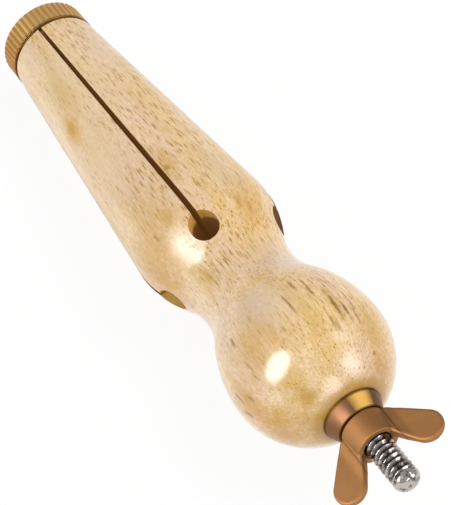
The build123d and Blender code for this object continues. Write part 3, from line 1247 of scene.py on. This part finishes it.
@dataclass
class ThreadedRod:
    """Steel rod threaded from end to end, with a rounded free end."""

    radius: float = 2.413
    pitch: float = 25.4 / 24
    thread_depth: float = 0.62
    start: float = -95.85
    end: float = 30.8004
    end_round: float = 1.7
    end_steps: int = 14
    dome_steps: int = 48
    steps: int = 40

    def on_rod(self, radius: float, place: float) -> Pair:
        """Fit a point of the endless thread to the rod's two ends.

        Args:
            radius: The point's distance from the axis.
            place: Its place along the tool.

        Returns:
            The radius and place that it gets.
        """
        foot = self.end - self.end_round
        if place > foot:
            return max(self.radius - self.thread_depth - 2 * (place - foot), 0), foot
        if place < self.start:
            return max(radius - 4 * (self.start - place), 0), self.start
        return radius, place

    def dome(self) -> BMesh:
        """Turn the smooth rounded end, which reaches a little way back into the thread.

        Returns:
            The closed mesh.
        """
        flat = self.radius - self.end_round
        foot = self.end - self.end_round
        outline = [(0, foot - 0.5), (self.radius - self.thread_depth - 0.05, foot - 0.5)]
        for i in range(self.end_steps + 1):
            angle = pi / 2 * i / self.end_steps
            outline.append((flat + self.end_round * cos(angle), foot + self.end_round * sin(angle)))
        outline.append((0, self.end))
        return turned(outline, self.dome_steps)

    def build(self) -> None:
        """Wind one turn of thread by a spin that climbs a pitch, then double it until it is long enough."""
        mesh = bmesh.new()
        first = self.start - 2 * self.pitch
        shape = [(0.0, 0.0), (0.08, 0.05), (0.42, 0.93), (0.5, 1.0), (0.58, 0.93), (0.92, 0.05), (1.0, 0.0)]
        corners = [
            mesh.verts.new((self.radius - self.thread_depth * (1 - height), 0, first + share * self.pitch))
            for share, height in shape
        ]
        edges = [mesh.edges.new(pair) for pair in zip(corners, corners[1:])]
        bmesh.ops.spin(
            mesh,
            geom=corners + edges,
            cent=(0, 0, 0),
            axis=(0, 0, 1),
            dvec=(0, 0, self.pitch / self.steps),
            angle=2 * pi,
            steps=self.steps,
        )
        turns = 1
        while first + turns * self.pitch < self.end + 2 * self.pitch:
            whole = mesh.verts[:] + mesh.edges[:] + mesh.faces[:]
            copied = bmesh.ops.duplicate(mesh, geom=whole)["geom"]
            higher = [item for item in copied if isinstance(item, BMVert)]
            bmesh.ops.translate(mesh, verts=higher, vec=(0, 0, turns * self.pitch))
            turns *= 2
        spare = self.end + 2 * self.pitch
        bmesh.ops.delete(mesh, geom=[v for v in mesh.verts if v.co.z > spare], context="VERTS")
        for vert in mesh.verts:
            radius = hypot(vert.co.x, vert.co.y)
            fitted, vert.co.z = self.on_rod(radius, vert.co.z)
            vert.co.x *= fitted / radius
            vert.co.y *= fitted / radius
        close(mesh, 0.01)
        dome = self.dome()
        cap = bpy.data.meshes.new("dome")
        dome.to_mesh(cap)
        dome.free()
        mesh.from_mesh(cap)
        bpy.data.meshes.remove(cap)
        piece = finish_mesh("steel_draw_rod", mesh, [PlatedSteel()], "drawbar")
        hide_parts("draw_rod")


@dataclass
class WingNut:
    """Cast brass wing nut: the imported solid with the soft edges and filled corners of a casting."""

    voxel: float = 0.11
    smoothings: int = 2
    hub_end: float = 21.2004
    mouth_radius: float = 2.95
    bore_radius: float = 2.52
    bearing: float = 16.2004
    wing_angle: float = radians(-65.5)
    wing_root: float = 4.3
    wing_spread: float = 0.3

    def sink_mouth(self, vert: BMVert) -> None:
        """Open the bore a little, sink its mouth to a cone and draw the wings out.

        Args:
            vert: A corner of the mesh, which is moved.
        """
        radius = hypot(vert.co.x, vert.co.y)
        if radius < self.mouth_radius:
            vert.co.z = min(vert.co.z, self.hub_end - 0.9 * (self.mouth_radius - radius))
        if radius < self.bore_radius:
            vert.co.x *= self.bore_radius / radius
            vert.co.y *= self.bore_radius / radius
        across = Vector((cos(self.wing_angle), sin(self.wing_angle), 0))
        reach = vert.co.dot(across)
        spread = min(max(abs(reach) - self.wing_root, 0) / 2, 1) * self.wing_spread
        vert.co += across * (spread if reach > 0 else -spread)
        vert.co.z = max(vert.co.z, self.bearing)

    def build(self) -> None:
        """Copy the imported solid, remesh it finely and soften it."""
        mesh = bmesh.new()
        mesh.from_mesh(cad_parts["wing_nut"].data)
        bmesh.ops.transform(mesh, matrix=TOOL.from_lathe().inverted(), verts=mesh.verts)
        bmesh.ops.remove_doubles(mesh, verts=mesh.verts, dist=0.001)
        data = bpy.data.meshes.new("casting")
        mesh.to_mesh(data)
        mesh.free()
        rough = put("casting", data)
        remesh = rough.modifiers.new("cast", "REMESH")
        remesh.mode = "VOXEL"
        remesh.voxel_size = self.voxel
        cast = bpy.data.meshes.new_from_object(rough.evaluated_get(bpy.context.evaluated_depsgraph_get()))
        bpy.data.objects.remove(rough)
        mesh = bmesh.new()
        mesh.from_mesh(cast)
        for _ in range(self.smoothings):
            bmesh.ops.smooth_vert(
                mesh, verts=mesh.verts, factor=0.5, use_axis_x=True, use_axis_y=True, use_axis_z=True
            )
        for vert in mesh.verts:
            self.sink_mouth(vert)
        piece = finish_mesh("brass_wing_nut", mesh, [CastBrass()], "nut")
        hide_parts("wing_nut")


class Lamp(Enum):
    """The studio's soft boxes: direction from the clamp, distance, width, height, power, what they light."""

    KEY = ((0.14, -0.85, 0.51), 0.62, 0.34, 0.46, 1.2, "matt")
    BACK = ((0.1, 0.55, 0.85), 0.7, 0.6, 0.5, 2.4, "matt")
    SIDE = ((0.76, 0.46, 0.455), 0.6, 0.2, 0.2, 0.3, "all")
    KEY_GLOSS = ((0.14, -0.86, 0.49), 0.61, 0.28, 0.47, 4.0, "gloss")
    SIDE_GLOSS = ((0.75, 0.5, 0.43), 0.59, 0.3, 0.38, 0.75, "gloss")
    LOW_GLOSS = ((0.963, -0.032, 0.269), 0.6, 0.24, 0.22, 0.6, "gloss")
    BACK_GLOSS = ((0.34, 0.55, 0.76), 0.69, 0.12, 0.3, 0.2, "gloss")


@dataclass
class Studio:
    """White paper, soft boxes, an even pale room and the camera."""

    middle: Triple = (0.0, 0.0, 0.013)
    room: str = "b8b8b8"
    cool: Triple = (0.96, 1.0, 1.08)
    camera_at: Triple = (225.206, -130.456, 319.572)
    looking: Triple = (-0.55285, 0.32871, -0.76571)
    rightwards: Triple = (0.50623, 0.86239, 0.00471)
    focal_pixels: float = 2283.0
    picture_height: float = 505.0
    paper_radius: float = 3.0

    def lay_paper(self) -> None:
        """Lay the paper that the clamp lies on."""
        mesh = bmesh.new()
        bmesh.ops.create_circle(mesh, cap_ends=True, segments=64, radius=self.paper_radius)
        data = bpy.data.meshes.new("paper")
        mesh.to_mesh(data)
        mesh.free()
        data.materials.append(MattPaper().material())
        paper = put("paper", data)

    def hang_lamps(self) -> None:
        """Hang the soft boxes, each turned to the clamp."""
        for lamp in Lamp:
            direction, distance, width, height, power, lit = lamp.value
            light = bpy.data.lights.new(lamp.name.lower(), "AREA")
            light.shape = "ELLIPSE"
            light.size = width
            light.size_y = height
            light.energy = power
            if lit == "gloss":
                light.color = self.cool
            hung = put(lamp.name.lower(), light)
            aim = Vector(direction).normalized()
            hung.location = Vector(self.middle) + aim * distance
            hung.rotation_euler = aim.to_track_quat("Z", "Y").to_euler()
            hung.visible_diffuse = lit != "gloss"
            hung.visible_glossy = lit != "matt"

    def fill_room(self) -> None:
        """Light the room evenly."""
        world = bpy.data.worlds.new("room")
        world.use_nodes = True
        world.node_tree.nodes.clear()
        surface = Surface(world.node_tree)
        air = surface.add("Background", {"Color": linear(self.room), "Strength": 1.0})
        surface.add("OutputWorld", {"Surface": air})
        bpy.context.scene.world = world

    def set_camera(self) -> None:
        """Set the camera where the picture was taken from."""
        camera = bpy.data.cameras.new("camera")
        camera.sensor_width = 36.0
        camera.lens = self.focal_pixels * camera.sensor_width / self.picture_height
        camera.clip_start = 0.01
        camera.clip_end = 20.0
        holder = put("camera", camera)
        back = -Vector(self.looking).normalized()
        right = Vector(self.rightwards).normalized()
        up = back.cross(right)
        axes = Matrix((right, up, back)).transposed().to_4x4()
        holder.matrix_world = Matrix.Translation(Vector(self.camera_at) * MILLIMETRE) @ axes
        bpy.context.scene.camera = holder
        bpy.context.scene.view_settings.view_transform = "Standard"

    def build(self) -> None:
        """Set up the whole studio."""
        self.lay_paper()
        self.hang_lamps()
        self.fill_room()
        self.set_camera()


def main() -> None:
    """Build every piece and the studio."""
    logging.basicConfig(level=logging.INFO, format="%(name)s: %(message)s")
    Studio().build()
    TurnedWood().build()
    ExpanderCap().build()
    Ferrule().build()
    ThreadedRod().build()
    WingNut().build()
    bpy.context.view_layer.update()


if __name__ == "__main__":
    main()
